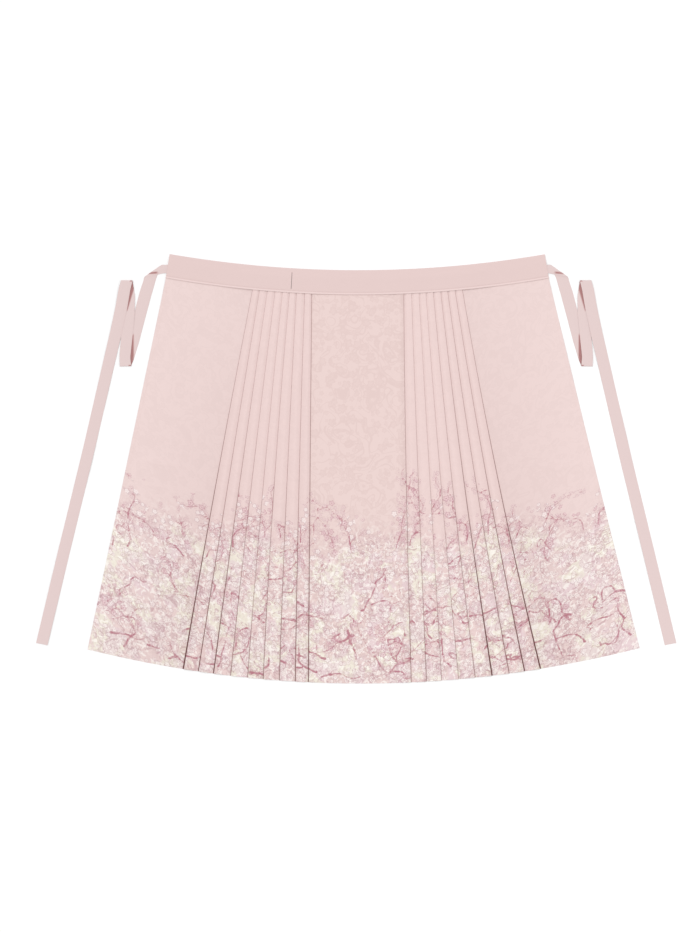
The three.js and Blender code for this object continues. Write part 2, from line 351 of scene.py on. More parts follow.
# Old wood is short, thick and nearly level, in the lower half of the border.
for start in np.arange(-REACH_ACROSS, REACH_ACROSS, 36):
    heading = growth.choice((0.2, math.pi - 0.2)) + growth.uniform(-0.5, 0.5)
    grow(start + growth.uniform(-15, 15), growth.uniform(10, 150), heading, growth.uniform(1.7, 2.9),
         growth.uniform(35, 100), 0)
# Sprays climb almost straight up out of the border.
for start in np.arange(-REACH_ACROSS, REACH_ACROSS, 66):
    grow(start + growth.uniform(-20, 20), growth.uniform(290, 330),
         math.pi / 2 + growth.uniform(-0.3, 0.3), growth.uniform(1.1, 1.6), growth.uniform(70, 190), 1)
wood = np.array(wood)
wood = wood[(wood[:, 1] < BORDER + 30) & (wood[:, 1] > 0)]
print("branch points:", len(wood), "buds:", len(buds))

# %% [markdown]
# A search tree finds the nearest branch and the nearest bud for every point of the cloth. Rose blossom
# opens round the buds. The whole border thins out towards its ragged top, where only sprays go on, and
# a little higher its crown ends, in which clusters of white blossom stand.

# %% Branch distance and blossom density
FAR = 60.0
BLOOM_REACH = 13
RAGGED_TOP = 330
CROWN_HEIGHT = 62
BORDER_SOFT, CROWN_SOFT = 17, 10


def search_tree(points):
    tree = KDTree(len(points))
    for i, (u, h) in enumerate(points):
        tree.insert((u, h, 0), i)
    tree.balance()
    return tree


all_wood, all_buds = search_tree(wood[:, :2]), search_tree(buds)


def border_fields(flat):
    """Four numbers for each flat point: millimetres outside the nearest branch, how near the closest
    bud is, and how much of the border and of its crown is left at that height."""
    points = flat.reshape(-1, 2)
    branch = np.full(len(points), FAR)
    bloom = np.zeros(len(points))
    for i in np.nonzero(points[:, 1] < BORDER + FAR)[0]:
        spot = (points[i, 0], points[i, 1], 0)
        _, index, away = all_wood.find(spot)
        branch[i] = away - wood[index, 2]
        bloom[i] = math.exp(-(all_buds.find(spot)[2] / BLOOM_REACH) ** 2)
    ragged = RAGGED_TOP + 16 * np.sin(points[:, 0] / 71) + 14 * np.sin(points[:, 0] / 27 + 1)
    border = 1 / (1 + np.exp((points[:, 1] - ragged) / BORDER_SOFT))
    crown = 1 / (1 + np.exp((points[:, 1] - ragged - CROWN_HEIGHT) / CROWN_SOFT))
    fields = {"branch": branch, "bloom": bloom, "border": border, "crown": crown}
    return {name: values.reshape(flat.shape[:2]) for name, values in fields.items()}


print("border", BORDER, "mm high")

# %% [markdown]
# ## Laying a piece of the skirt
#
# A piece is a list of knots across the skirt: how far across, how high, how much it lifts with its fold,
# how dark the painted shade beside a fold is there, and into how many columns the stretch to the next
# knot is cut. The helper fills in the columns, adds the height that the waistband and the ridges give,
# and hands the result to the wall helper.

# %% The piece helper
LANDED = 0.06


def knot(x, layer, rise=0, line=0, steps=1):
    full = np.zeros_like(rows)
    return [full + x, full + LOWEST + layer * LEVEL, full + rise, full + line, steps]


def columns_between(knots):
    across, height, line = [], [], []
    for (x0, z0, r0, l0, steps), (x1, z1, r1, l1, _) in zip(knots, knots[1:]):
        for i in range(steps):
            s = i / steps
            ease = 0.5 * s + 0.5 * s * s * (3 - 2 * s)
            across.append(x0 + (x1 - x0) * s)
            height.append(z0 + (z1 - z0) * ease + (r0 + (r1 - r0) * s) ** 2)
            line.append(l0 + (l1 - l0) * s)
    x, z, rise, dark, _ = knots[-1]
    across.append(x)
    height.append(z + rise ** 2)
    line.append(dark)
    return np.stack(across, 1), np.stack(height, 1), np.stack(line, 1)


def place(x, z):
    v = rows[:, None]
    y = arc_y(SEAM, x) * (1 - v) + arc_y(HEM, x) * v
    lift = LEVEL * (1 - np.clip(v / LANDED, 0, 1))
    return np.stack([x, y + SHIFT_Y, z + lift + swell(x, y)], 2), y - arc_y(HEM, x)


def lay(name, knots, flat_start, way):
    """Makes the piece. flat_start is where its first column lies on the flat print."""
    x, z, line = columns_between(knots)
    upper, lower = both_faces(x, z, CLOTH)
    run = np.concatenate([np.zeros((len(rows), 1)), np.cumsum(np.abs(np.diff(x, axis=1)), axis=1)], axis=1)
    above_hem = place(x, z)[1]
    flat = np.stack([flat_start[:, None] + way * run, above_hem], 2)
    fields = {**border_fields(flat), "line": line}
    piece = sew(name, place(*upper)[0], place(*lower)[0], flat=flat, fields=fields)
    return piece, flat[:, -1, 0]


# The pressed line in this print is the painted shade beside the folds.
print("knots carry place, height, lift and pressed line")

# %% [markdown]
# ## Knife pleats
#
# Each pleat's face climbs from under its neighbour to the top of its own fold, turns back, runs in as
# the underlap and turns again. The turn is a small half circle, so the fold has a soft edge. Where a
# pleat was handled its edge stands up a little towards the hem, and the painted shade line beside it
# widens. Shade is also painted faintly on each fold's turn, and darkest on the cloth under the next layer.

# %% Pleats
FACE_STEPS = 7
TURN = np.radians((90, 45, 0, -45, -90))
HIDDEN_TURN = np.radians((90, 0, -90))


def turn_knots(fold, way, level, rise, line, outer=True):
    """Half a circle between this layer and the next lower one."""
    radius = LEVEL / 2
    centre_x = fold - way * (radius + CLOTH / 2)
    knots = []
    for angle in TURN if outer else HIDDEN_TURN:
        made = knot(centre_x + (way if outer else -way) * radius * np.cos(angle), 0, rise, line)
        made[1] = made[1] + LEVEL * (level - 0.5) + radius * np.sin(angle)
        knots.append(made)
    return knots


def fold_rise(fold):
    """How far the fold stands up, as a root, so that its height eases across the cloth."""
    return np.sqrt(fold["rise"] * down ** 1.5)


def line_depth(fold):
    return fold["line_top"] * (1 - down) + fold["line_low"] * down


def line_gap(fold):
    """How far out of the fold the dark line reaches, in millimetres."""
    return 0.35 + 2.1 * (fold["line_low"] * down) ** 2


def pleat_knots(folds, way, start):
    knots = [knot(start, 0, line=1, steps=3)]
    for previous, fold in zip(folds, folds[1:]):
        edge, before, gap = fold_x(fold, rows), fold_x(previous, rows), line_gap(previous)
        inner = edge - way * underlap(rows)
        # Painted shade: darkest on the cloth under the previous fold, then a line beside its edge that fades
        # out.
        knots.append(knot(before - way * 1.5, 0, line=1, steps=1))
        knots.append(knot(before + way * gap, 0.02, line=line_depth(previous), steps=1))
        knots.append(knot(before + way * (gap + 1.1), 0.1, line=line_depth(previous) * 0.12,
                          steps=FACE_STEPS - 1))
        knots.append(knot(inner - way * 0.5, 2, steps=FACE_STEPS))
        knots += turn_knots(edge, way, 2, fold_rise(fold), line_depth(fold) * 0.15)
        if fold is not folds[-1]:
            knots += turn_knots(inner + way * (LEVEL + CLOTH), way, 1, 0, 1, outer=False)
        else:
            knots.append(knot(inner, 1, line=1))
    return knots


left_start = fold_x(LEFT_FOLDS[0], rows) + UNDER_PANEL_JOIN
right_start = fold_x(RIGHT_FOLDS[0], rows) - underlap(rows)
right_flat = fold_x(RIGHT_FOLDS[0], rows) + underlap(rows)
left_pleats, left_flat_end = lay("pleats_left", pleat_knots(LEFT_FOLDS, -1, left_start), left_start, -1)
right_pleats, right_flat_end = lay("pleats_right", pleat_knots(RIGHT_FOLDS, 1, right_start), right_flat, 1)

# %% [markdown]
# ## Flat panels
#
# The middle panel is the horse face. Its left edge is free and lies over the under panel, and its right
# edge is the first pleat's fold. The end panels start in the hidden inner fold of the last pleat and end
# in a narrow hem, which is a doubled edge and so stands a little higher.

# %% Panels
HEM_TURN = 9
PANEL_STEPS = 78
END_STEPS = 74


def front_panel_knots():
    edge, fold = fold_x(LEFT_FOLDS[0], rows), fold_x(RIGHT_FOLDS[0], rows)
    inner = fold - underlap(rows)
    edge_rise = fold_rise(LEFT_FOLDS[0])
    # Painted shade beside the panel's free edge, on the first pleat's turn and on the cloth under it.
    knots = [
        knot(edge + CLOTH / 2, 1, edge_rise, 0.25, 1),
        knot(edge + 1.5, 1, edge_rise * 0.85, 0.03, 3),
        knot(edge + HEM_TURN, 1, edge_rise * 0.3, 0, PANEL_STEPS - 12),
        knot(inner - 12, 1, steps=5),
        knot(inner - 0.5, 2, steps=5),
    ]
    knots += turn_knots(fold, 1, 2, fold_rise(RIGHT_FOLDS[0]), line_depth(RIGHT_FOLDS[0]) * 0.15)
    knots[-1][4] = 3
    return knots + [knot(inner, 1, line=1)]


def end_panel_knots(folds, side, way):
    last = folds[-1]
    fold, edge = fold_x(last, rows), along(side, rows)
    gap = line_gap(last)
    # Painted shade, darkest on the cloth under the last fold, then a line beside its edge that fades out.
    return [
        knot(fold - way * underlap(rows), 0, line=1, steps=3),
        knot(fold - way * 1.5, 0, line=1, steps=1),
        knot(fold + way * gap, 0, line=line_depth(last), steps=1),
        knot(fold + way * (gap + 1.1), 0, line=line_depth(last) * 0.12, steps=END_STEPS),
        knot(edge - way * HEM_TURN, 0, steps=3),
        knot(edge - way * CLOTH / 2, 0.25, 0.4),
    ]


front_panel, _ = lay("panel_front", front_panel_knots(), fold_x(LEFT_FOLDS[0], rows), 1)
under_from = fold_x(LEFT_FOLDS[0], rows) + UNDER_PANEL_JOIN + LEVEL - 1
# The under panel lies under the middle panel and is painted a little darker all over, as shade.
under_knots = [knot(under_from, 0, line=0.3, steps=12), knot(right_start - 3, 0, line=0.3)]
under_panel, _ = lay("panel_under", under_knots, under_from, 1)
left_end, _ = lay("panel_left_end", end_panel_knots(LEFT_FOLDS, LEFT_SIDE, -1), left_flat_end, -1)
right_end, _ = lay("panel_right_end", end_panel_knots(RIGHT_FOLDS, RIGHT_SIDE, 1), right_flat_end, 1)

# %% [markdown]
# ## The waistband
#
# The waistband is one long strip, folded over the skirt's top edge. Its section starts behind the skirt at
# the seam, runs up the back, turns at the top edge and comes down the front, where it steps up over the
# layers that it clasps. A row of stitches near its lower edge pulls a shallow groove and leaves a ridge
# below it. The tie of the wearer's other side passes through an upright slit.

# %% Waistband shape
BAND_CLOTH = 0.6
CLASPED = np.array(((-438, 1), (-320, 1), (-246, 3), (-104, 3), (-60, 2),
                    (50, 2), (92, 3), (251, 3), (325, 1), (443, 1)), float)
DENTS = ((-203, 18, 0.5), (245, 22, 0.45))
SLIT_X, SLIT_HALF, SLIT_LOW, SLIT_HIGH = -150, 0.45, 9.5, 46.5
GROOVE_UP, GROOVE_DEEP, RIDGE_UP, RIDGE_HIGH = 5.5, 0.45, 2.6, 0.35
FRONT_SLACK = 0.35
SHOULDER = 0.6 * BAND_HEIGHT


def band_point(x, up, z):
    top_x = BAND_TOP_SCALE * x
    share = up / BAND_HEIGHT
    low_y, top_y = arc_y(SEAM, x), arc_y(SEAM, top_x) + BAND_HEIGHT
    return np.stack([x + (top_x - x) * share, low_y + (top_y - low_y) * share + SHIFT_Y, z], -1)


def band_front(x, up):
    """Height of the middle of the front wall."""
    stack = LOWEST + LEVEL * (np.interp(x, CLASPED[:, 0], CLASPED[:, 1]) + 1)
    soft = 0.5 - 0.5 * np.cos(math.pi * np.clip((BAND_HEIGHT - up) / (BAND_HEIGHT - SHOULDER), 0, 1))
    wall = LOWEST + LEVEL + (stack - LOWEST - LEVEL) * soft
    fill = np.clip(up / 10, 0, 1) * np.clip((BAND_HEIGHT - up) / 12, 0, 1)
    wave = 0.22 * np.sin(x / 19 + 2 * np.sin(x / 83)) + 0.18 * np.sin(x / 7.3 + up / 9)
    groove = GROOVE_DEEP * np.exp(-(((up - GROOVE_UP) / 0.9) ** 2)) * (0.8 + 0.2 * np.sin(x / 2.3))
    ridge = RIDGE_HIGH * np.exp(-(((up - RIDGE_UP) / 1.5) ** 2))
    dents = sum(deep * np.exp(-(((x - at) / 3) ** 2) - ((up - high) / 7) ** 2) for at, high, deep in DENTS)
    return wall + FRONT_SLACK + fill * wave - groove + ridge + dents


print("waistband", BAND_HEIGHT, "mm high, of cloth", BAND_CLOTH, "mm thick")

# %% [markdown]
# The strip is sewn from sections across it, one every few millimetres along the skirt. The cells at the
# slit are left out of both walls, and the wall helper closes the rim round each opening. Numbers on the
# points say where shade is painted on the strip, in the stitch groove, at its lower edge and round the
# slit, and where a highlight is painted along the ridge below the stitching.

# %% Waistband cloth
BACK_UP = np.array((0, 3, SLIT_LOW, 20, 33, SLIT_HIGH, 52), float)
FRONT_UP = np.array((55, 52, 49, SLIT_HIGH, 43, 39, 35, 31, 27, 23, 19, 16, 13, SLIT_LOW,
                     8, 7, 6.2, 5.5, 4.8, 4, 3, 2, 1, 0.3), float)
stations = np.unique(np.concatenate([
    np.arange(CLASPED[0, 0], CLASPED[-1, 0], 4.5),
    CLASPED[:, 0],
    SLIT_X + SLIT_HALF * np.array((-2.2, -1, 1, 2.2)),
]))
stations = stations[np.abs(stations - SLIT_X) >= SLIT_HALF - 1e-6]
turn_radius = LEVEL / 2
turn_up = BAND_HEIGHT - turn_radius - BAND_CLOTH / 2 + turn_radius * np.cos(TURN)
turn_z = LOWEST + turn_radius - turn_radius * np.sin(TURN)
band_up = np.concatenate([BACK_UP, turn_up, FRONT_UP])
path_up = np.tile(band_up, (len(stations), 1))
front_z = band_front(stations[:, None], FRONT_UP[None, :])
back_z = np.full((len(stations), len(BACK_UP)), LOWEST)
path_z = np.concatenate([back_z, np.tile(turn_z, (len(stations), 1)), front_z], axis=1)
band_cells = np.ones((len(stations) - 1, len(band_up) - 1), bool)
slit_row = int(np.argmin(np.abs(stations - (SLIT_X - SLIT_HALF))))
in_slit = (band_up >= SLIT_LOW) & (band_up <= SLIT_HIGH)
band_cells[slit_row, in_slit[1:] & in_slit[:-1]] = False
band_upper, band_lower = both_faces(path_up, path_z, BAND_CLOTH)
band_flat = np.stack([np.tile(stations[:, None], (1, len(band_up))), path_up + LENGTH], 2)
band_x = stations[:, None] + 0 * path_up
on_front = np.arange(len(band_up)) >= len(BACK_UP) + len(turn_up)
# Painted shade in the stitch groove, along the front's lower edge and round the slit.
in_groove = 0.12 * np.exp(-(((band_up - GROOVE_UP) / 0.8) ** 2))
at_edge = 0.2 * np.exp(-((band_up / 0.8) ** 2))
groove_and_edge_shade = on_front * (in_groove + at_edge)
# A painted highlight along the ridge below the stitching.
ridge_highlight = on_front * np.exp(-(((band_up - 2.7) / 1.3) ** 2))
at_slit = (np.abs(stations[:, None] - SLIT_X) < 1.5 * SLIT_HALF) & in_slit
band_fields = {"line": np.maximum(groove_and_edge_shade, 0.45 * at_slit), "painted_highlight": ridge_highlight + 0 * path_up}
waistband = sew("waistband_cloth", band_point(band_x, *band_upper), band_point(band_x, *band_lower),
                band_cells, band_flat, band_fields)

# %% [markdown]
# ## The ties
#
# A tie is a flat ribbon. It leaves the waistband's end, folds under itself on a slant, runs down, comes
# back up over itself in a soft turn, and folds down again to its free end. Each row of the route is one
# section: its middle, the layer that it lies on, the way its width points in degrees, and its width. The
# last value is the layer to which the ribbon folds back there, or None where it runs on.

# %% Tie route
TIE_ROUTE = (
    (-424, 460, 1, -100, 19, None),
    (-435, 460, 1, -101, 19, None),
    (-446, 458.5, 1, -116, 22, None),
    (-468, 454.5, 1, -145, 45, 0),
    (-474, 437.5, 0, -171, 29, None),
    (-485, 401, 0, -190, 28, None),
    (-499, 347, 0, -195, 27, None),
    (-512, 297, 0, -194, 27, None),
    (-526, 250, 0, -184, 27, None),
    (-530.5, 236, 0, -178, 26, 2.4),
    (-532, 257, 1.7, -184, 25, None),
    (-528, 300, 1, -180, 26, None),
    (-522.5, 355, 1, -180, 26.5, None),
    (-522, 397, 1, -180, 26.5, None),
    (-527.5, 433, 1, -181, 26.5, 3.4),
    (-533, 412, 2.6, -184, 27, None),
    (-540, 371, 2, -192, 27, None),
    (-552.5, 313, 1.3, -192, 27, None),
    (-573, 225, 0, -191, 27, None),
    (-620, 23, 0, -191, 27, None),
    (-671, -186, 0, -191, 27, None),
    (-723, -403, 0, -191, 27, None),
)
TIE_STEP = 3
print("tie route has", len(TIE_ROUTE), "sections")

# %% [markdown]
# At each fold the ribbon turns over in half a circle. Between the rows of the route it gets a section
# every few millimetres, and the straight parts are smoothed a little, as cloth takes no sharp corner.

# %% Along the route
def tie_stations():
    """Rows of x, y, z, across, width and strip, with half a turn at each fold and fine steps between."""
    made, strip = [], 0
    for i, (x, y, layer, across, width, fold_to) in enumerate(TIE_ROUTE):
        low = LOWEST + layer * LEVEL
        if fold_to is None:
            made.append((x, y, low, across, width, strip))
            continue
        high = LOWEST + fold_to * LEVEL
        angle = math.radians(across)
        onward = np.array((-math.sin(angle), math.cos(angle)))
        onward *= np.sign(onward @ (x - TIE_ROUTE[i - 1][0], y - TIE_ROUTE[i - 1][1]))
        for turn in np.radians(np.linspace(-90, 90, 9)):
            ahead = abs(high - low) / 2 * (math.cos(turn) - 1)
            z = (low + high) / 2 + (high - low) / 2 * math.sin(turn)
            made.append((x + onward[0] * ahead, y + onward[1] * ahead, z, across, width, strip + 0.5))
        strip += 1
    made = np.array(made)
    fine = [made[0]]
    for a, b in zip(made, made[1:]):
        steps = max(1, round(float(np.hypot(*(b - a)[:2])) / TIE_STEP))
        fine += [a + (b - a) * (i + 1) / steps for i in range(steps)]
    fine = np.array(fine)
    smooth = fine.copy()
    for _ in range(3):
        gap = np.linalg.norm(np.diff(smooth[:, :2], axis=0), axis=1)
        free = (gap[1:] > TIE_STEP / 2) & (gap[:-1] > TIE_STEP / 2)
        mean = (smooth[:-2] + 2 * smooth[1:-1] + smooth[2:]) / 4
        smooth[1:-1][free] = mean[free]
    return smooth


sections = tie_stations()
print("sections along a tie:", len(sections))

# %% [markdown]
# The ribbon is a thin wall that is thinner towards its woven edges. Its free end waves a little on the
# table. Where one strip lies over the next, light can't get in, so a narrow wedge of the lower strip is
# painted as shade: each row of the table gives its strip, both ends, its width at both ends and its depth.

# %% Ties
TIE_CLOTH = 0.6
# Wedges of painted shade on the lower strip where another strip lies over it.
TIE_SHADOWS = (
    (0, -477, 449.5, -459, 451, 1.8, 2.4, 0.75),
    (1, -517.5, 240, -513, 308, 6.5, 1.4, 0.75),
    (2, -513, 431, -527, 365, 7, 1.4, 0.75),
)
SHADOW_EDGE = 2.4
TIE_COLUMNS = np.linspace(-1, 1, 25)
SEAM_COLUMNS = (2, -3)


def wedge_shade(x, y, strips):
    """How much shade is painted on the cloth at each point, between 0 and 1."""
    shade = np.zeros(x.shape)
    for strip, x1, y1, x2, y2, wide_1, wide_2, deep in TIE_SHADOWS:
        run_x, run_y = x2 - x1, y2 - y1
        share = np.clip(((x - x1) * run_x + (y - y1) * run_y) / (run_x ** 2 + run_y ** 2), 0, 1)
        away = np.hypot(x - x1 - share * run_x, y - y1 - share * run_y)
        past = away - wide_1 - (wide_2 - wide_1) * share
        on_strip = np.abs(strips - strip) <= 0.5
        shade = np.maximum(shade, deep * on_strip * np.clip(0.5 - past / SHADOW_EDGE, 0, 1))
    return shade


def ribbon(name, side, phase):
    strips, widths = sections[:, 5:6], sections[:, 4:5]
    middle = np.stack([-side * sections[:, 0], sections[:, 1] + SHIFT_Y, sections[:, 2]], 1)
    angle = np.radians(sections[:, 3])
    half = np.stack([-side * np.cos(angle), np.sin(angle), 0 * angle], 1) * widths / 2
    run = np.linalg.norm(np.diff(middle, axis=0), axis=1)
    length = np.concatenate([[0], np.cumsum(run)])
    step = np.diff(middle, axis=0) / np.maximum(run, 1e-9)[:, None]
    ahead = np.concatenate([step[:1], step[:-1] + step[1:], step[-1:]])
    normal = np.cross(half, ahead)
    normal /= np.linalg.norm(normal, axis=1)[:, None]
    across = TIE_COLUMNS[None, :, None]
    body = middle[:, None] + half[:, None] * across
    on_floor = np.clip((length[:, None] - 330) / 120, 0, 1)
    wave = 0.5 + 0.5 * np.sin(length[:, None] / 47 + phase + 1.5 * np.sin(length[:, None] / 131))
    tilt = 0.5 + 0.5 * np.sin(length[:, None] / 83 + 2 * phase) * TIE_COLUMNS[None, :]
    body[:, :, 2] += on_floor * (1.3 * wave * tilt)
    body[:, :, 2] += 0.35 * (1 - np.abs(TIE_COLUMNS[None, :]) ** 3) * np.clip(normal[:, None, 2], 0, 1)
    thick = TIE_CLOTH / 2 * (1 - 0.35 * np.abs(across) ** 6)
    shade = wedge_shade(-side * body[:, :, 0], body[:, :, 1] - SHIFT_Y, strips)
    along_it = np.tile(length[:, None], (1, len(TIE_COLUMNS)))
    flat = np.stack([widths / 2 * TIE_COLUMNS[None, :], along_it], 2)
    piece = sew(name, body + normal[:, None] * thick, body - normal[:, None] * thick, flat=flat,
                fields={"line": shade})
    nearest = np.rint(sections[:, 5])
    straight = np.abs(sections[:, 5] - nearest) < 0.05
    seams = [body[straight & (nearest == strip), column] for strip in range(4) for column in SEAM_COLUMNS]
    print(f"{name}: {length[-1] / 1000:.2f} m long")
    return piece, seams


tie_left, left_seams = ribbon("ribbon_left", -1, 0.4)
tie_right, right_seams = ribbon("ribbon_right", 1, 2.1)

# %% [markdown]
# ## Stitches
#
# Topstitching holds the waistband down and the narrow hems flat. A stitch is a short thread with round
# ends, laid along a line of sewing. Geometry Nodes walk along each line, set one stitch down at each
# step and turn it to follow the line. Thread passes right through the cloth, so it shows on both faces.

# %% Stitch tree
def hex_colour(code):
    """An sRGB hex value as the linear colour that Blender works in."""
    values = [int(code[i:i + 2], 16) / 255 for i in (1, 3, 5)]
    return (*[c / 12.92 if c <= 0.04045 else ((c + 0.055) / 1.055) ** 2.4 for c in values], 1)


def add(tree, kind, links=None, **settings):
    """Adds one node with its settings, and its inputs as values or as sockets to link from."""
    made = tree.nodes.new(kind)
    for name, value in settings.items():
        setattr(made, name, value)
    for name, value in (links or {}).items():
        if isinstance(value, bpy.types.NodeSocket):
            tree.links.new(value, made.inputs[name])
        else:
            made.inputs[name].default_value = value
    return made


def stitch_tree():
    tree = bpy.data.node_groups.new("Stitches", "GeometryNodeTree")
    sizes = {}
    tree.interface.new_socket("Line", in_out="INPUT", socket_type="NodeSocketGeometry")
    for name in ("Spacing", "Stitch length", "Thread width"):
        sizes[name] = tree.interface.new_socket(name, in_out="INPUT", socket_type="NodeSocketFloat")
    sizes["Thread"] = tree.interface.new_socket("Thread", in_out="INPUT", socket_type="NodeSocketMaterial")
    tree.interface.new_socket("Stitches", in_out="OUTPUT", socket_type="NodeSocketGeometry")
    given = add(tree, "NodeGroupInput").outputs
    walked = add(tree, "GeometryNodeResampleCurve", {
        "Curve": given["Line"], "Length": given["Spacing"]}, mode="LENGTH")
    bead = add(tree, "GeometryNodeMeshUVSphere", {"Segments": 6, "Rings": 4, "Radius": 0.5})
    shape = add(tree, "ShaderNodeCombineXYZ", {
        "X": given["Stitch length"], "Y": given["Thread width"], "Z": given["Thread width"]})
    thread = add(tree, "GeometryNodeTransform", {
        "Geometry": bead.outputs["Mesh"], "Scale": shape.outputs[0]})
    heading = add(tree, "GeometryNodeInputTangent")
    turned = add(tree, "FunctionNodeAlignEulerToVector", {"Vector": heading.outputs[0]}, axis="X")
    set_down = add(tree, "GeometryNodeInstanceOnPoints", {
        "Points": walked.outputs[0], "Instance": thread.outputs[0], "Rotation": turned.outputs[0]})
    real = add(tree, "GeometryNodeRealizeInstances", {0: set_down.outputs[0]})
    finished = add(tree, "GeometryNodeSetMaterial", {
        "Geometry": real.outputs[0], "Material": given["Thread"]})
    add(tree, "NodeGroupOutput", {0: finished.outputs[0]})
    return tree, sizes


stitches, stitch_inputs = stitch_tree()
print("stitch tree has", len(stitches.nodes), "nodes")

# %% [markdown]
# The thread is spun polyester, a little darker than the cloth, with a soft shine along it. Its twist is
# drawn as fine slanting bands, about 0.7 mm apart, as two-ply sewing thread has.

# %% Thread
def spun_thread():
    material = bpy.data.materials.new("spun polyester thread")
    material.use_nodes = True
    tree = material.node_tree
    shader = tree.nodes["Principled BSDF"]
    place_of = add(tree, "ShaderNodeTexCoord")
    twist = add(tree, "ShaderNodeTexWave", {
        "Vector": place_of.outputs["Object"], "Scale": 900, "Distortion": 2}, bands_direction="DIAGONAL")
    colour = add(tree, "ShaderNodeMix", {0: twist.outputs["Fac"], 6: hex_colour("#d9b9b6"),
                                         7: hex_colour("#e8cfcb")}, data_type="RGBA")
    tree.links.new(colour.outputs[2], shader.inputs["Base Color"])
    shader.inputs["Roughness"].default_value = 0.5
    return material


THREAD = spun_thread()
print("thread:", THREAD.name)

# %% [markdown]
# Each line of sewing starts as a curve. The tree's modifier turns it into stitches, and a copy of the
# result is kept as a plain mesh, so that nothing live is left on the piece.

# %% Sew the lines
SPACING, STITCH, THREAD_WIDTH = 3.2, 2.6, 0.85


def sew_lines(name, lines):
    curve = bpy.data.curves.new(name, "CURVE")
    curve.dimensions = "3D"
    for line in lines:
        spline = curve.splines.new("POLY")
        spline.points.add(len(line) - 1)
        for point, target in zip(spline.points, line):
            point.co = (*(np.array(target) * MM), 1)
    sewn = bpy.data.objects.new(name + "_line", curve)
    bpy.context.scene.collection.objects.link(sewn)
    modifier = sewn.modifiers.new("Stitches", "NODES")
    modifier.node_group = stitches
    for size, value in (("Spacing", SPACING), ("Stitch length", STITCH), ("Thread width", THREAD_WIDTH)):
        modifier[stitch_inputs[size].identifier] = value * MM
    modifier[stitch_inputs["Thread"].identifier] = THREAD
    bpy.context.view_layer.update()
    mesh = bpy.data.meshes.new_from_object(sewn.evaluated_get(bpy.context.evaluated_depsgraph_get()))
    mesh.name = name
    piece = bpy.data.objects.new(name, mesh)
    bpy.context.scene.collection.objects.link(piece)
    bpy.data.objects.remove(sewn)
    mesh.polygons.foreach_set("use_smooth", np.ones(len(mesh.polygons), bool))
    print(f"{name}: {len(mesh.polygons)} faces")
    return piece


def skirt_line(x, layer, extra=0):
    """A line of sewing down the cloth, on the middle of its thickness."""
    height = np.full((len(rows), 1), LOWEST + layer * LEVEL) + np.reshape(extra, (-1, 1))
    return place(np.reshape(x, (-1, 1)), height)[0][3:, 0]


band_line = band_point(stations[1:-1], GROOVE_UP + 0 * stations[1:-1],
                       band_front(stations[1:-1], GROOVE_UP + 0 * stations[1:-1]))
front_edge = fold_x(LEFT_FOLDS[0], rows) + HEM_TURN - 1
front_rise = LEFT_FOLDS[0]["rise"] * down ** 1.5 * 0.12
panel_lines = [
    skirt_line(along(LEFT_SIDE, rows) + HEM_TURN - 1, 0, 0.05),
    skirt_line(along(RIGHT_SIDE, rows) - HEM_TURN + 1, 0, 0.05),
    skirt_line(front_edge, 1, front_rise),
]
band_stitches = sew_lines("stitches_waistband", [band_line])
panel_stitches = sew_lines("stitches_edges", panel_lines)
tie_stitches = sew_lines("stitches_ties", left_seams + right_seams)

# %% [markdown]
# ## Cloth with a printed border
#
# The skirt is jacquard satin with a print. One small group draws five-petalled blossoms, one in each cell
# of a Voronoi pattern: it measures how far a point is from the cell's middle and lets the edge swing in
# and out five times round the turn. The print's blossoms are about 6 to 14 mm wide.

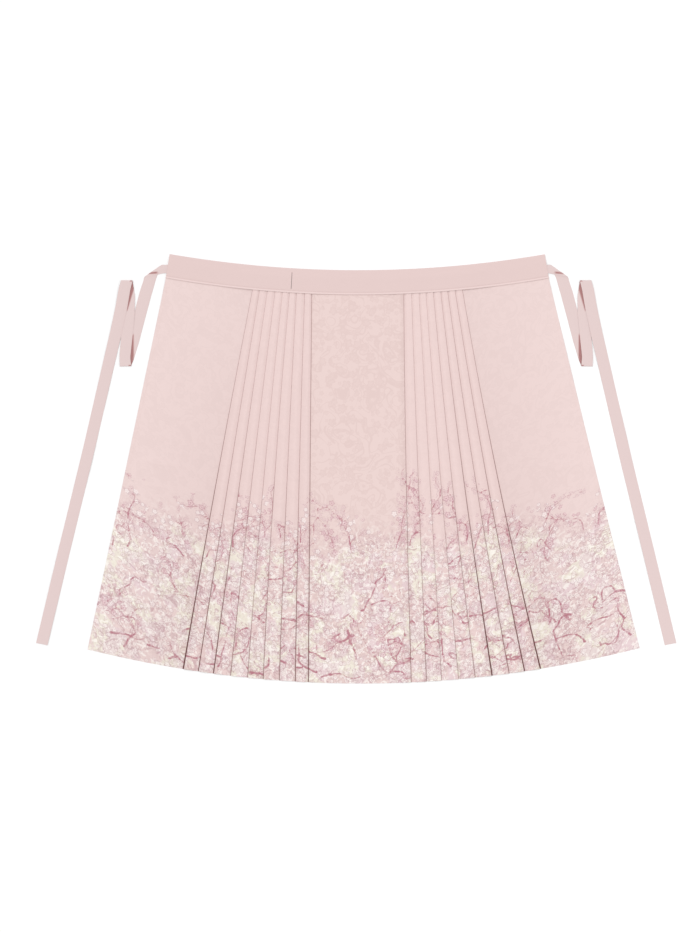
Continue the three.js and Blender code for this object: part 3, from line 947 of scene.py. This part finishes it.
# %% Blossom group
def blossom_group():
    tree = bpy.data.node_groups.new("Five petals", "ShaderNodeTree")
    for name, kind in (("Place", "Vector"), ("Cells", "Float"), ("Radius", "Float"), ("Density", "Float")):
        tree.interface.new_socket(name, in_out="INPUT", socket_type="NodeSocket" + kind)
    for name in ("Petal", "Outline", "Heart"):
        tree.interface.new_socket(name, in_out="OUTPUT", socket_type="NodeSocketFloat")
    given = add(tree, "NodeGroupInput").outputs
    cell = add(tree, "ShaderNodeTexVoronoi", {
        "Vector": given["Place"], "Scale": given["Cells"], "Randomness": 0.75},
        voronoi_dimensions="2D").outputs
    chance = add(tree, "ShaderNodeSeparateColor", {0: cell["Color"]}).outputs
    arm = add(tree, "ShaderNodeVectorMath", {0: given["Place"], 1: cell["Position"]}, operation="SUBTRACT")
    reach = add(tree, "ShaderNodeVectorMath", {0: arm.outputs[0]}, operation="LENGTH").outputs["Value"]
    part = add(tree, "ShaderNodeSeparateXYZ", {0: arm.outputs[0]}).outputs
    angle = add(tree, "ShaderNodeMath", {0: part["Y"], 1: part["X"]}, operation="ARCTAN2").outputs[0]
    turned = add(tree, "ShaderNodeMath", {0: angle, 1: 2.5, 2: chance["Red"]},
                 operation="MULTIPLY_ADD").outputs[0]
    wave = add(tree, "ShaderNodeMath", {0: turned}, operation="COSINE").outputs[0]
    lobe = add(tree, "ShaderNodeMath", {0: wave}, operation="ABSOLUTE").outputs[0]
    size = add(tree, "ShaderNodeMapRange", {
        "Value": chance["Green"], "To Min": 0.65, "To Max": 1.1}).outputs[0]
    radius = add(tree, "ShaderNodeMath", {0: given["Radius"], 1: size}, operation="MULTIPLY").outputs[0]
    edge = add(tree, "ShaderNodeMath", {0: lobe, 1: 0.42, 2: 0.6}, operation="MULTIPLY_ADD").outputs[0]
    rim = add(tree, "ShaderNodeMath", {0: radius, 1: edge}, operation="MULTIPLY").outputs[0]
    share = add(tree, "ShaderNodeMath", {0: reach, 1: rim}, operation="DIVIDE").outputs[0]
    middle = add(tree, "ShaderNodeMath", {0: reach, 1: radius}, operation="DIVIDE").outputs[0]
    shown = add(tree, "ShaderNodeMath", {0: chance["Blue"], 1: given["Density"]},
                operation="LESS_THAN").outputs[0]
    off = add(tree, "ShaderNodeMath", {0: share, 1: 1.0}, operation="SUBTRACT").outputs[0]
    away = add(tree, "ShaderNodeMath", {0: off}, operation="ABSOLUTE").outputs[0]
    drawn = []
    for value, near, far in ((share, 0.85, 1.05), (away, 0.10, 0.35), (middle, 0.14, 0.30)):
        soft = add(tree, "ShaderNodeMapRange", {
            "Value": value, "From Min": near, "From Max": far, "To Min": 1, "To Max": 0},
            interpolation_type="SMOOTHSTEP").outputs[0]
        drawn.append(add(tree, "ShaderNodeMath", {0: soft, 1: shown}, operation="MULTIPLY").outputs[0])
    add(tree, "NodeGroupOutput", dict(zip(("Petal", "Outline", "Heart"), drawn)))
    return tree


FIVE_PETALS = blossom_group()
print("blossom group has", len(FIVE_PETALS.nodes), "nodes")

# %% [markdown]
# Printing ink goes on in layers. A layer is a colour, a strength and a mask that says where it goes.
# Masks come from soft uneven patches on the cloth, whose edge is cut as hard or as soft as is wanted.
# All places on the cloth are in millimetres, so 1 / scale is about the size of a patch.

# %% Ink, patches and edges
def paint_over(tree, under, layers):
    for code, strength, mask in layers:
        amount = add(tree, "ShaderNodeMath", {0: mask, 1: strength}, operation="MULTIPLY", use_clamp=True)
        under = add(tree, "ShaderNodeMix", {0: amount.outputs[0], 6: under, 7: hex_colour(code)},
                    data_type="RGBA").outputs[2]
    return under


def patches(tree, on_cloth, scale, shift=0, detail=3, distortion=0):
    """Uneven patches. The shift keeps two uses of one scale from falling together."""
    moved = add(tree, "ShaderNodeVectorMath", {0: on_cloth, 1: (shift, shift * 0.7, 0)}, operation="ADD")
    return add(tree, "ShaderNodeTexNoise", {
        "Vector": moved.outputs[0], "Scale": scale, "Detail": detail, "Distortion": distortion},
        noise_dimensions="2D").outputs[0]


def soft_edge(tree, value, start, stop, within=None):
    """A mask that grows from 0 at start to 1 at stop, inside another mask where one is given."""
    mask = add(tree, "ShaderNodeMapRange", {"Value": value, "From Min": start, "From Max": stop},
               interpolation_type="SMOOTHSTEP").outputs[0]
    if within is None:
        return mask
    return add(tree, "ShaderNodeMath", {0: mask, 1: within}, operation="MULTIPLY").outputs[0]


def pen_line(tree, value, width):
    """A drawn line where soft patches pass through their middle value."""
    off = add(tree, "ShaderNodeMath", {0: value, 1: 0.5}, operation="SUBTRACT").outputs[0]
    away = add(tree, "ShaderNodeMath", {0: off}, operation="ABSOLUTE").outputs[0]
    return soft_edge(tree, away, width, width * 0.3)


def blossoms(tree, on_cloth, cells, radius, density, shift):
    """The outputs of one scatter of five-petalled blossoms. The density is a number or a socket."""
    moved = add(tree, "ShaderNodeVectorMath", {0: on_cloth, 1: (shift, shift, 0)}, operation="ADD").outputs[0]
    return add(tree, "ShaderNodeGroup", {
        "Place": moved, "Cells": cells, "Radius": radius, "Density": density},
        node_tree=FIVE_PETALS).outputs


print("inks are laid one over another")

# %% [markdown]
# The border is painted from the back to the front: washes of cream and mauve, small pale blossoms with
# rose hearts, fine pen lines, white blossoms that also stand in clusters above the border, the branches
# grown above, and rose blossoms round the buds. The branches are inked unevenly, as with a brush.

# %% Printed border
def border_inks(tree, on_cloth):
    """The layers of the print, from the back to the front."""
    field = {name: add(tree, "ShaderNodeAttribute", attribute_name=name).outputs["Fac"]
             for name in ("branch", "bloom", "border", "crown")}
    border = field["border"]
    ground = soft_edge(tree, border, 0.55, 0.98)
    wash = patches(tree, on_cloth, 0.014)
    second = patches(tree, on_cloth, 0.02, 430)
    dapple = patches(tree, on_cloth, 0.085, 90, 3, 0.6)
    grain = patches(tree, on_cloth, 0.2, 510, 2)
    there = soft_edge(tree, patches(tree, on_cloth, 0.02, 610, 1), 0.42, 0.5, border)
    fine_line = pen_line(tree, patches(tree, on_cloth, 0.03, 300, 3, 1.2), 0.03)
    spray = soft_edge(tree, field["branch"], 10, 3)
    patch = soft_edge(tree, patches(tree, on_cloth, 0.017, 333, 2), 0.42, 0.54)
    patch = add(tree, "ShaderNodeMath", {0: patch, 1: 0.75, 2: 0.25}, operation="MULTIPLY_ADD").outputs[0]
    cover = add(tree, "ShaderNodeMath", {0: border, 1: patch}, operation="MULTIPLY").outputs[0]
    some = add(tree, "ShaderNodeMath", {0: cover, 1: spray}, operation="MAXIMUM").outputs[0]
    some = add(tree, "ShaderNodeMath", {0: some, 1: 0.85}, operation="MULTIPLY").outputs[0]
    few = add(tree, "ShaderNodeMath", {0: border, 1: 0.16}, operation="MULTIPLY").outputs[0]
    above = soft_edge(tree, border, 0.95, 0.5, field["crown"])
    near_wood = soft_edge(tree, field["branch"], 24, 10, above)
    cluster = soft_edge(tree, patches(tree, on_cloth, 0.015, 710, 1), 0.48, 0.60, near_wood)
    few = add(tree, "ShaderNodeMath", {0: few, 1: cluster}, operation="MAXIMUM").outputs[0]
    small = blossoms(tree, on_cloth, 0.10, 4.4, some, 0)
    white = blossoms(tree, on_cloth, 0.06, 6.4, few, 40)
    rose = blossoms(tree, on_cloth, 0.06, 6.2, field["bloom"], 77)
    low_petal = add(tree, "ShaderNodeMath", {0: small["Petal"], 1: ground}, operation="MULTIPLY").outputs[0]
    low_line = add(tree, "ShaderNodeMath", {0: fine_line, 1: there}, operation="MULTIPLY").outputs[0]
    uneven = soft_edge(tree, patches(tree, on_cloth, 0.09, 880, 2), 0.30, 0.60)
    inked = add(tree, "ShaderNodeMath", {0: uneven, 1: 0.55, 2: 0.45}, operation="MULTIPLY_ADD").outputs[0]
    return [
        ("#e9e8d5", 0.65, soft_edge(tree, wash, 0.50, 0.57, ground)),
        ("#dfcacf", 0.60, soft_edge(tree, second, 0.51, 0.59, ground)),
        ("#c4a8aa", 0.50, soft_edge(tree, dapple, 0.53, 0.60, cover)),
        ("#f6f1eb", 0.62, soft_edge(tree, dapple, 0.46, 0.39, border)),
        ("#bb979e", 0.60, small["Outline"]),
        ("#e2cac9", 0.45, small["Petal"]),
        ("#f0e9e3", 0.60, low_petal),
        ("#a96f7d", 0.55, small["Heart"]),
        ("#a98f8f", 0.35, soft_edge(tree, grain, 0.57, 0.64, cover)),
        ("#ad7f88", 0.50, low_line),
        ("#b3969b", 0.48, white["Outline"]),
        ("#f5edea", 0.50, white["Petal"]),
        ("#b28089", 0.20, white["Heart"]),
        ("#a95f70", 0.85, soft_edge(tree, field["branch"], 1.0, -0.4, inked)),
        ("#ab7482", 0.52, rose["Outline"]),
        ("#dcb8be", 0.42, rose["Petal"]),
        ("#a56a76", 0.65, rose["Heart"]),
    ]


def woven_figure(tree, on_cloth):
    """The jacquard's figure: large and small blossoms among thin curls."""
    figure = pen_line(tree, patches(tree, on_cloth, 0.02, 0, 1, 1.6), 0.05)
    for cells, radius, shift in ((0.035, 9.5, 12), (0.07, 5.0, 55)):
        flower = blossoms(tree, on_cloth, cells, radius, 0.6, shift)
        petal = add(tree, "ShaderNodeMath", {0: flower["Petal"], 1: 0.5}, operation="MULTIPLY").outputs[0]
        for drawn in (petal, flower["Outline"]):
            figure = add(tree, "ShaderNodeMath", {0: figure, 1: drawn}, operation="MAXIMUM").outputs[0]
    return figure


print("the border has seventeen inks")

# %% [markdown]
# The skirt is polyester satin. Its threads float on the face, which gives it a smooth, even colour and a
# soft broad shine, and on panels and pleats a jacquard figure shows only by its tone. The waistband and
# ties are of plain satin, which looks a little deeper because more of it is doubled. A real weave has
# some 40 threads to a centimetre. The slanting ribs of the bump are drawn coarser, about 0.8 mm apart,
# and still show only from near by, because one pixel of this camera covers 2.3 mm. Polyester's IOR of
# 1.57 is lowered to 1.46, because the cloth hardly shines.

# %% Satin
# Painted shade for folds, cloth under other layers, the waistband's groove and slit and the ties' wedges, a
# darker painted shade where it is deepest, and a painted highlight for the waistband's ridge.
PAINTED_SHADE, DEEPEST_PAINTED_SHADE, PAINTED_RIDGE_HIGHLIGHT = "#804540", "#4c2526", "#f3dedb"


def satin(name, ground, figure=None, printed=False, shade=PAINTED_SHADE):
    material = bpy.data.materials.new(name)
    material.use_nodes = True
    tree = material.node_tree
    shader = tree.nodes["Principled BSDF"]
    cloth_uv = add(tree, "ShaderNodeUVMap", uv_map="Cloth").outputs[0]
    on_cloth = add(tree, "ShaderNodeVectorMath", {0: cloth_uv, "Scale": 1000}, operation="SCALE").outputs[0]
    colour = add(tree, "ShaderNodeRGB").outputs[0]
    colour.default_value = hex_colour(ground)
    if figure:
        colour = paint_over(tree, colour, [(figure, 1, woven_figure(tree, on_cloth))])
    if printed:
        colour = paint_over(tree, colour, border_inks(tree, on_cloth))
    # The line attribute paints shade on the cloth, darkest in the deepest places, and the second attribute
    # paints a highlight on the waistband's ridge.
    line = add(tree, "ShaderNodeAttribute", attribute_name="line").outputs["Fac"]
    painted_highlight = add(tree, "ShaderNodeAttribute", attribute_name="painted_highlight").outputs["Fac"]
    deepest = soft_edge(tree, line, 0.6, 1.0)
    colour = paint_over(tree, colour, [(shade, 0.95, line), (DEEPEST_PAINTED_SHADE, 0.6, deepest),
                                       (PAINTED_RIDGE_HIGHLIGHT, 0.35, painted_highlight)])
    weave = add(tree, "ShaderNodeTexWave", {"Vector": on_cloth, "Scale": 0.55, "Distortion": 0.6},
                bands_direction="DIAGONAL").outputs["Fac"]
    bump = add(tree, "ShaderNodeBump", {"Height": weave, "Strength": 0.12, "Distance": 0.0001})
    for socket, value in (("Base Color", colour), ("Normal", bump.outputs[0])):
        tree.links.new(value, shader.inputs[socket])
    for socket, value in (("Roughness", 0.55), ("IOR", 1.46),
                          ("Sheen Weight", 0.15), ("Sheen Roughness", 0.4)):
        shader.inputs[socket].default_value = value
    print(f"{name}: {len(tree.nodes)} nodes")
    return material


PANEL = satin("polyester jacquard satin, end panels", "#e1cbc8", "#dec8c5", printed=True)
MIDDLE = satin("polyester jacquard satin, middle panel", "#dfc8c4", "#d9c1bd", printed=True)
PLEAT = satin("polyester jacquard satin, pleats", "#e1c9c6", "#dfc7c4", printed=True)
BAND = satin("plain polyester satin, waistband", "#d8c0bd")
# The ties' painted shade is a redder brown.
TIE = satin("plain polyester satin, ties", "#d7c2c0", shade="#9a4441")

# %% [markdown]
# ## Dressing the pieces
#
# Each piece of cloth gets its material and is hung on the root body, and the solid whose place it takes
# is hidden.

# %% Dress the pieces
DRESS = (
    (front_panel, "front_panel", MIDDLE, "panel_cloth", "laid", "under_panel"),
    (under_panel, "under_panel", PANEL, "panel_cloth", "laid", "waistband"),
    (left_end, "left_end_panel", PANEL, "panel_cloth", "laid", "waistband"),
    (right_end, "right_end_panel", PANEL, "panel_cloth", "laid", "waistband"),
    (left_pleats, "left_pleats", PLEAT, "pleat_cloth", "folded", "waistband"),
    (right_pleats, "right_pleats", PLEAT, "pleat_cloth", "folded", "waistband"),
    (waistband, "waistband", BAND, "band_cloth", "folded", "front_panel"),
    (tie_left, "tie_left", TIE, "tie_cloth", "folded", "waistband"),
    (tie_right, "tie_right", TIE, "tie_cloth", "folded", "waistband"),
)
for piece, node, material, slot, held, below in DRESS:
    piece.data.materials.append(material)
    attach(piece, "root")
    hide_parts(node)
for piece, slot in ((band_stitches, "band_cloth"), (panel_stitches, "panel_cloth"),
                    (tie_stitches, "tie_cloth")):
    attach(piece, "root")

# %% [markdown]
# ## The table
#
# The skirt lies on a plain near-white table. Matt paint scatters light to all sides, so the table shows
# only the soft shadows round the cloth. It is much larger than the picture, so its edge never shows.

# %% Table
TABLE_REACH = 14


def plain_table():
    mesh = bpy.data.meshes.new("table")
    reach = TABLE_REACH
    corners = [(-reach, -reach, 0), (reach, -reach, 0), (reach, reach, 0), (-reach, reach, 0)]
    mesh.from_pydata(corners, [], [(0, 1, 2, 3)])
    table = bpy.data.objects.new("table", mesh)
    bpy.context.scene.collection.objects.link(table)
    paint = bpy.data.materials.new("matt white paint")
    paint.use_nodes = True
    shader = paint.node_tree.nodes["Principled BSDF"]
    shader.inputs["Base Color"].default_value = hex_colour("#f6f6f6")
    shader.inputs["Roughness"].default_value = 0.9
    mesh.materials.append(paint)
    return table


plain_table()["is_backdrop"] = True
print("table", 2 * TABLE_REACH, "m wide")

# %% [markdown]
# ## Light
#
# A white room gives even light from all sides. A ceiling of soft lamps, a little to the upper left,
# gives folds and creases a soft shaded side, and one lamp on the right keeps them from going flat.

# %% Light
scene = bpy.context.scene
room = bpy.data.worlds.new("white room")
scene.world = room
room.use_nodes = True
background = room.node_tree.nodes["Background"]
background.inputs["Color"].default_value = hex_colour("#ffffff")
background.inputs["Strength"].default_value = 0.75


def hang(name, kind, energy, place):
    """A lamp at its place, turned towards the skirt."""
    lamp = bpy.data.lights.new(name, kind)
    lamp.energy = energy
    stand = bpy.data.objects.new(name, lamp)
    stand.location = place
    stand.rotation_euler = (-Vector(place)).to_track_quat("-Z", "Y").to_euler()
    scene.collection.objects.link(stand)
    return lamp


ceiling = hang("ceiling of soft lamps", "SUN", 1.15, (-1.0, 1.2, 3.6))
ceiling.angle = math.radians(60)
side_lamp = hang("side lamp", "AREA", 26, (4.0, -0.5, 4.0))
side_lamp.shape = "SQUARE"
side_lamp.size = 2.5
print("lamps:", ceiling.name, "and", side_lamp.name)

# %% [markdown]
# ## Camera
#
# The camera looks straight down from almost six metres with a long lens, which keeps the skirt free of
# perspective. Its height follows from how much of the table the picture shows from top to bottom.

# %% Camera
FIELD_HEIGHT = 2.1436
lens = bpy.data.cameras.new("camera")
lens.lens = 100
lens.sensor_width = 36
camera = bpy.data.objects.new("camera", lens)
camera.location = (-0.0154, 0.0063, FIELD_HEIGHT * lens.lens / lens.sensor_width)
scene.collection.objects.link(camera)
scene.camera = camera
scene.view_settings.view_transform = "Standard"
print("camera", round(camera.location.z, 2), "m above the table")

# %% [markdown]
# ## Sizes
#
# The cloth's box is printed beside the solids' box; the two should match.

# %% Finish
cloth_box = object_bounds()
for label, box in (("solids", cad_box), ("cloth", cloth_box)):
    print(label, [round((b - a) * 1000, 1) for a, b in zip(*box)], "mm")
